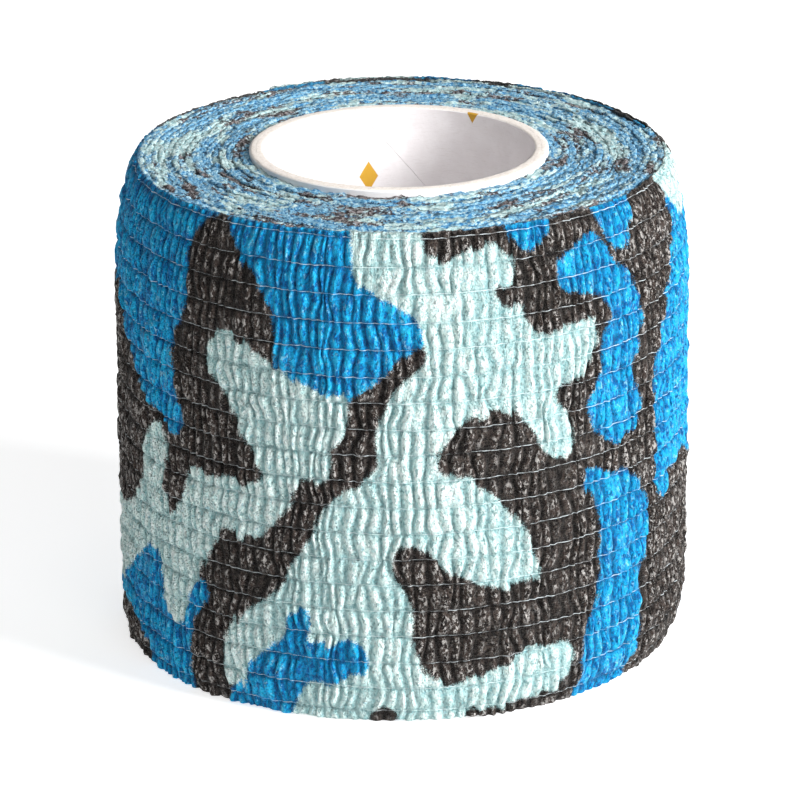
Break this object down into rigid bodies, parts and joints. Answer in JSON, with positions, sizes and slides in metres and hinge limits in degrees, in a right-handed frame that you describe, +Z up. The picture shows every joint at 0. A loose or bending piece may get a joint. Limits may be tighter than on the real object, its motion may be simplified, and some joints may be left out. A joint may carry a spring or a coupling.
{
  "type": "hand wrap",
  "caption": "Roll of self-adhering elastic crepe hand wrap in a blue, mint and charcoal camouflage print, wound on a paper core, with a free end that peels.",
  "frame": {"origin": "on the core's axis, in the plane that the roll stands on", "axes": "+Z up along the core's axis; the free end is at the back, +Y, and the side with the print facing the viewer is at -Y"},
  "size_m": [0.0578, 0.0582, 0.0507],
  "materials": {
    "printed_crepe": "matte",
    "inner_crepe": "matte",
    "elastic_thread": "matte",
    "core_liner": "satin",
    "core_board": "matte",
    "core_wrap": "matte"
  },
  "bodies": {
    "roll": {"core_liner_ply": "core_liner", "core_board_inner_ply": "core_board", "core_board_outer_ply": "core_board", "core_wrap_ply": "core_wrap", "inner_web": "inner_crepe", "outer_web": "printed_crepe", "elastic_thread_01": "elastic_thread", "elastic_thread_02": "elastic_thread", "elastic_thread_03": "elastic_thread", "elastic_thread_04": "elastic_thread", "elastic_thread_05": "elastic_thread", "elastic_thread_06": "elastic_thread", "elastic_thread_07": "elastic_thread", "elastic_thread_08": "elastic_thread", "elastic_thread_09": "elastic_thread", "elastic_thread_10": "elastic_thread", "elastic_thread_11": "elastic_thread", "elastic_thread_12": "elastic_thread", "elastic_thread_13": "elastic_thread", "elastic_thread_14": "elastic_thread", "elastic_thread_15": "elastic_thread", "elastic_thread_16": "elastic_thread", "elastic_thread_17": "elastic_thread", "elastic_thread_18": "elastic_thread", "elastic_thread_19": "elastic_thread"},
    "tail_1": {"tail_1_inner_web": "inner_crepe", "tail_1_threads": "elastic_thread", "tail_1_outer_web": "printed_crepe"},
    "tail_2": {"tail_2_inner_web": "inner_crepe", "tail_2_threads": "elastic_thread", "tail_2_outer_web": "printed_crepe"},
    "tail_3": {"tail_3_inner_web": "inner_crepe", "tail_3_threads": "elastic_thread", "tail_3_outer_web": "printed_crepe"},
    "tail_4": {"tail_4_inner_web": "inner_crepe", "tail_4_threads": "elastic_thread", "tail_4_outer_web": "printed_crepe"},
    "tail_5": {"tail_5_inner_web": "inner_crepe", "tail_5_threads": "elastic_thread", "tail_5_outer_web": "printed_crepe"},
    "tail_6": {"tail_6_inner_web": "inner_crepe", "tail_6_threads": "elastic_thread", "tail_6_outer_web": "printed_crepe"}
  },
  "joints": [
    {"name": "tail_peel", "type": "hinge", "parent": "roll", "child": "tail_1", "pos_m": [0.02515, 0.01469, 0.025], "axis": [0, 0, -1], "range_deg": [0, 22]},
    {"name": "tail_bend_2", "type": "hinge", "parent": "tail_1", "child": "tail_2", "pos_m": [0.02049, 0.02075, 0.025], "axis": [0, 0, -1], "range_deg": [0, 22]},
    {"name": "tail_bend_3", "type": "hinge", "parent": "tail_2", "child": "tail_3", "pos_m": [0.01441, 0.0254, 0.025], "axis": [0, 0, -1], "range_deg": [0, 22]},
    {"name": "tail_bend_4", "type": "hinge", "parent": "tail_3", "child": "tail_4", "pos_m": [0.00734, 0.02831, 0.025], "axis": [0, 0, -1], "range_deg": [0, 22]},
    {"name": "tail_bend_5", "type": "hinge", "parent": "tail_4", "child": "tail_5", "pos_m": [-0.00025, 0.0293, 0.025], "axis": [0, 0, -1], "range_deg": [0, 22]},
    {"name": "tail_bend_6", "type": "hinge", "parent": "tail_5", "child": "tail_6", "pos_m": [-0.00783, 0.02829, 0.025], "axis": [0, 0, -1], "range_deg": [0, 22]}
  ],
  "couplings": [
    {"joint": "tail_bend_2", "follows": "tail_peel", "ratio": 1},
    {"joint": "tail_bend_3", "follows": "tail_peel", "ratio": 1},
    {"joint": "tail_bend_4", "follows": "tail_peel", "ratio": 1},
    {"joint": "tail_bend_5", "follows": "tail_peel", "ratio": 1},
    {"joint": "tail_bend_6", "follows": "tail_peel", "ratio": 1}
  ]
}
